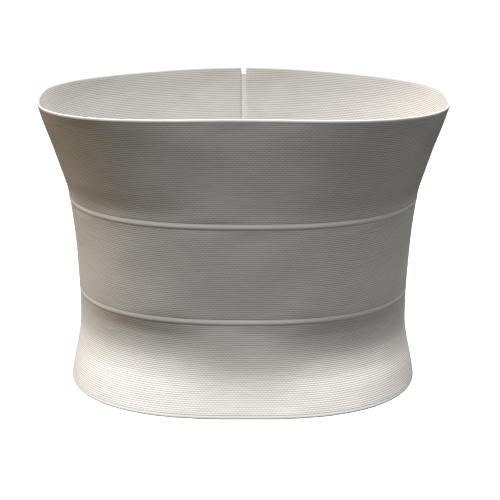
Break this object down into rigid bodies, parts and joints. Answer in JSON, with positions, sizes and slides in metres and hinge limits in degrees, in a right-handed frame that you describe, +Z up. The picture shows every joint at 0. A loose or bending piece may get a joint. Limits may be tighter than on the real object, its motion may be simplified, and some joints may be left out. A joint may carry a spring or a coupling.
{
  "type": "abdominal binder",
  "caption": "Elastic abdominal binder in its worn form: ribbed elastic panels joined by raised welts, open above and below, closed at the back.",
  "frame": {"origin": "middle of the hollow where the waist goes, at half the band's height", "axes": "+Z up along the body, -Y towards the wearer's front, +X towards the wearer's left"},
  "size_m": [0.3142, 0.2159, 0.2284],
  "materials": {
    "elastic": "ribbed woven elastic, warm white, matt",
    "knit_edge": "soft plain knit, warm white, matt",
    "hook_and_loop": "brushed loop cloth, warm white, matt"
  },
  "bodies": {
    "root": {"lower_panel": "elastic", "lower_welt": "knit_edge", "middle_panel": "elastic", "upper_welt": "knit_edge", "upper_panel": "elastic", "bottom_edge": "knit_edge", "top_edge": "knit_edge", "back_closure": "hook_and_loop"}
  },
  "joints": []
}
